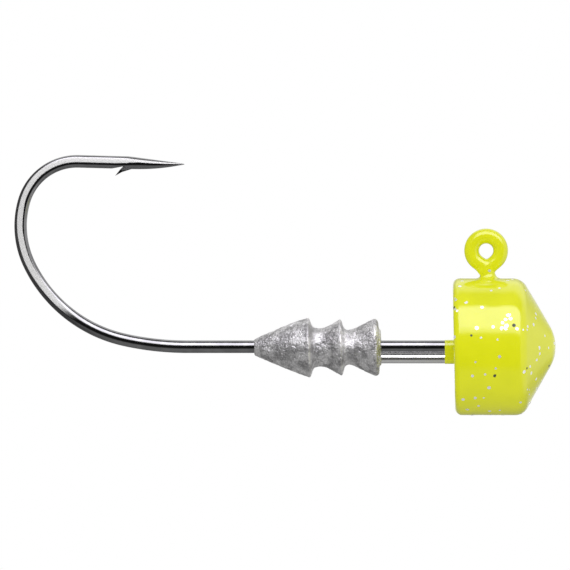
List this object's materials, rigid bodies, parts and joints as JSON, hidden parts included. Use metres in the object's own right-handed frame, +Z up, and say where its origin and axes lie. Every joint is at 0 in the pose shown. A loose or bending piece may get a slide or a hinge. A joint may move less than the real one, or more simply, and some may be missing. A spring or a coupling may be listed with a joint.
{
  "type": "jig head",
  "caption": "Round-barrelled fishing jig head with a blunt nose, a chartreuse glitter coat, a barbed bait keeper, a moulded-in jig hook and a closed line ring on top.",
  "frame": {"origin": "on the shank's axis, in the plane of the head's flat back face where a soft bait seats", "axes": "+X along the shank towards the nose, +Z up through the line ring, +Y across the hook's plane"},
  "size_m": [0.0426, 0.0108, 0.0205],
  "materials": {
    "hook_steel": "black nickel plated forged steel, bright",
    "bare_lead": "bare cast lead alloy, dull, slightly pitted",
    "chartreuse_coat": "glossy chartreuse powder coat with glitter",
    "silver_glitter": "bright silver foil flakes",
    "dark_glitter": "dark foil flakes"
  },
  "bodies": {
    "root": {"hook": "hook_steel", "support_wire": "hook_steel", "keeper": "bare_lead", "head_core": "bare_lead", "paint_coat": "chartreuse_coat", "silver_flakes": "silver_glitter", "dark_flakes": "dark_glitter"}
  },
  "joints": []
}
